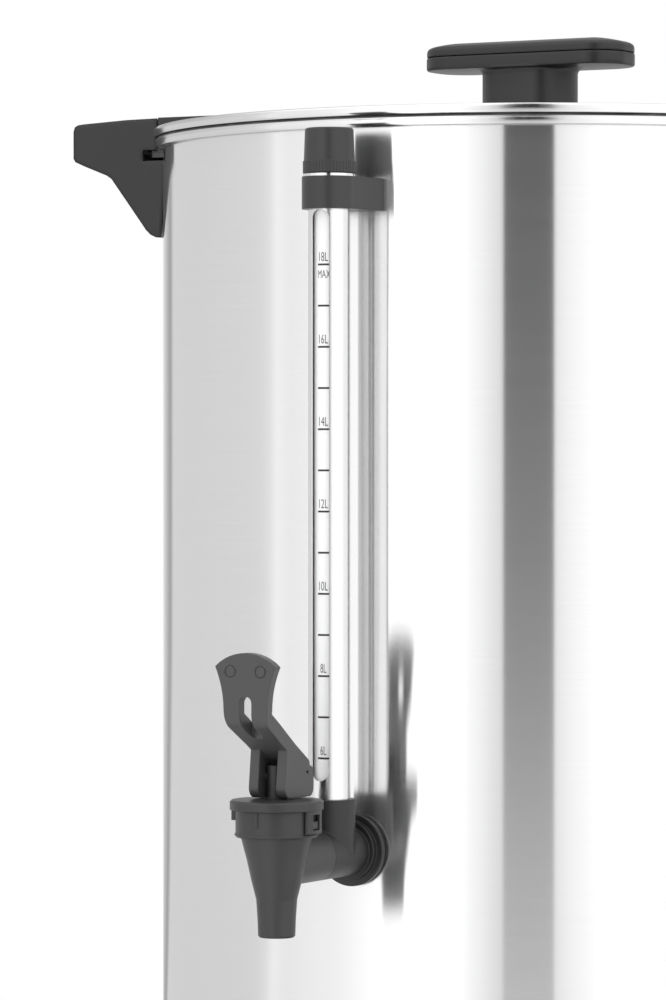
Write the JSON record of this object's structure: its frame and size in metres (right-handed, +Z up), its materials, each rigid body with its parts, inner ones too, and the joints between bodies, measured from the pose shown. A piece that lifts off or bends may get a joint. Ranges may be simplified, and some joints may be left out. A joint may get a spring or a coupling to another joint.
{
  "type": "hot water urn",
  "caption": "Double-walled steel hot water urn with a lever tap, a sight gauge tube, side handles, a lift-off lid with a knob, and a black base with controls.",
  "frame": {"origin": "on the urn's axis, at the plane of the table that its feet stand on", "axes": "+Z up along the urn's axis; the tap and the gauge face -Y; the handles lie along X"},
  "size_m": [0.37, 0.3946, 0.4777],
  "materials": {
    "brushed_shell": "stainless sheet, brushed round the body",
    "vessel_steel": "stainless sheet, satin",
    "polished_steel": "stainless steel, polished",
    "plated_steel": "zinc-plated or stainless hardware",
    "black_plastic": "heat-proof black moulding, satin with a fine grain",
    "tap_plastic": "black nylon moulding, satin",
    "rubber": "black rubber",
    "silicone": "white food-grade silicone",
    "gauge_tube": "clear tube with a printed scale",
    "aluminium": "pressed aluminium",
    "element_sheath": "heater sheath, dull",
    "ceramic": "cream heat-proof moulding",
    "lamp_lens": "translucent lens"
  },
  "bodies": {
    "urn": {"outer_shell": "brushed_shell", "inner_vessel": "vessel_steel", "base_skirt": "black_plastic", "base_plate": "plated_steel", "feet": "rubber", "foot_screws": "plated_steel", "element_plate": "aluminium", "heating_element": "element_sheath", "thermal_cutout": "ceramic", "terminal_block": "ceramic", "thermostat_body": "ceramic", "control_panel": "black_plastic", "panel_screws": "plated_steel", "indicator_lamps": "lamp_lens", "switch_housing": "black_plastic", "cord_gland": "black_plastic", "handle_brackets": "plated_steel", "handle_left": "black_plastic", "handle_right": "black_plastic", "handle_screws": "plated_steel", "tap_elbow": "tap_plastic", "tap_flange_washer": "rubber", "tap_spacer": "plated_steel", "tap_inner_washer": "silicone", "tap_lock_nut": "plated_steel", "tap_body": "tap_plastic", "tap_bonnet": "tap_plastic", "valve_spring": "plated_steel", "gauge_shield": "polished_steel", "gauge_glass": "gauge_tube", "gauge_seal": "silicone", "gauge_bracket": "tap_plastic", "gauge_bracket_screw": "plated_steel", "gauge_top_washer": "polished_steel"},
    "valve": {"valve_stem": "tap_plastic", "seat_cup": "silicone"},
    "lever_body": {"lever": "tap_plastic", "lever_pin": "plated_steel"},
    "lid": {"lid_pan": "polished_steel", "lid_locating_ring": "vessel_steel", "lock_tabs": "black_plastic", "tab_rivets": "plated_steel", "knob_base": "black_plastic", "knob_cap": "black_plastic", "knob_screw": "plated_steel", "knob_washer": "rubber"},
    "cap": {"gauge_cap": "tap_plastic"},
    "dial": {"thermostat_dial": "black_plastic", "dial_shaft": "plated_steel"},
    "rocker": {"rocker_switch": "black_plastic"}
  },
  "joints": [
    {"name": "lid_lift", "type": "slide", "parent": "urn", "child": "lid", "axis": [0, 0, 1], "range_m": [0, 0.06]},
    {"name": "stem_lift", "type": "slide", "parent": "urn", "child": "valve", "axis": [0, 0, 1], "range_m": [0, 0.0021], "deforming": ["valve_spring"]},
    {"name": "lever_tilt", "type": "hinge", "parent": "valve", "child": "lever_body", "pos_m": [0, -0.2128, 0.186], "axis": [1, 0, 0], "range_deg": [0, 45], "stiffness_Nm_per_rad": 0.3},
    {"name": "gauge_cap_lift", "type": "slide", "parent": "urn", "child": "cap", "axis": [0, 0, 1], "range_m": [0, 0.014]},
    {"name": "dial_turn", "type": "hinge", "parent": "urn", "child": "dial", "pos_m": [0, -0.163, 0.038], "axis": [0, -1, 0], "range_deg": [0, 270]},
    {"name": "rocker_rock", "type": "hinge", "parent": "urn", "child": "rocker", "pos_m": [0.044, -0.1585, 0.038], "axis": [-1, 0, 0], "range_deg": [0, 16]}
  ],
  "couplings": [
    {"joint": "lever_tilt", "follows": "stem_lift", "rad_per_m": 373.97}
  ]
}
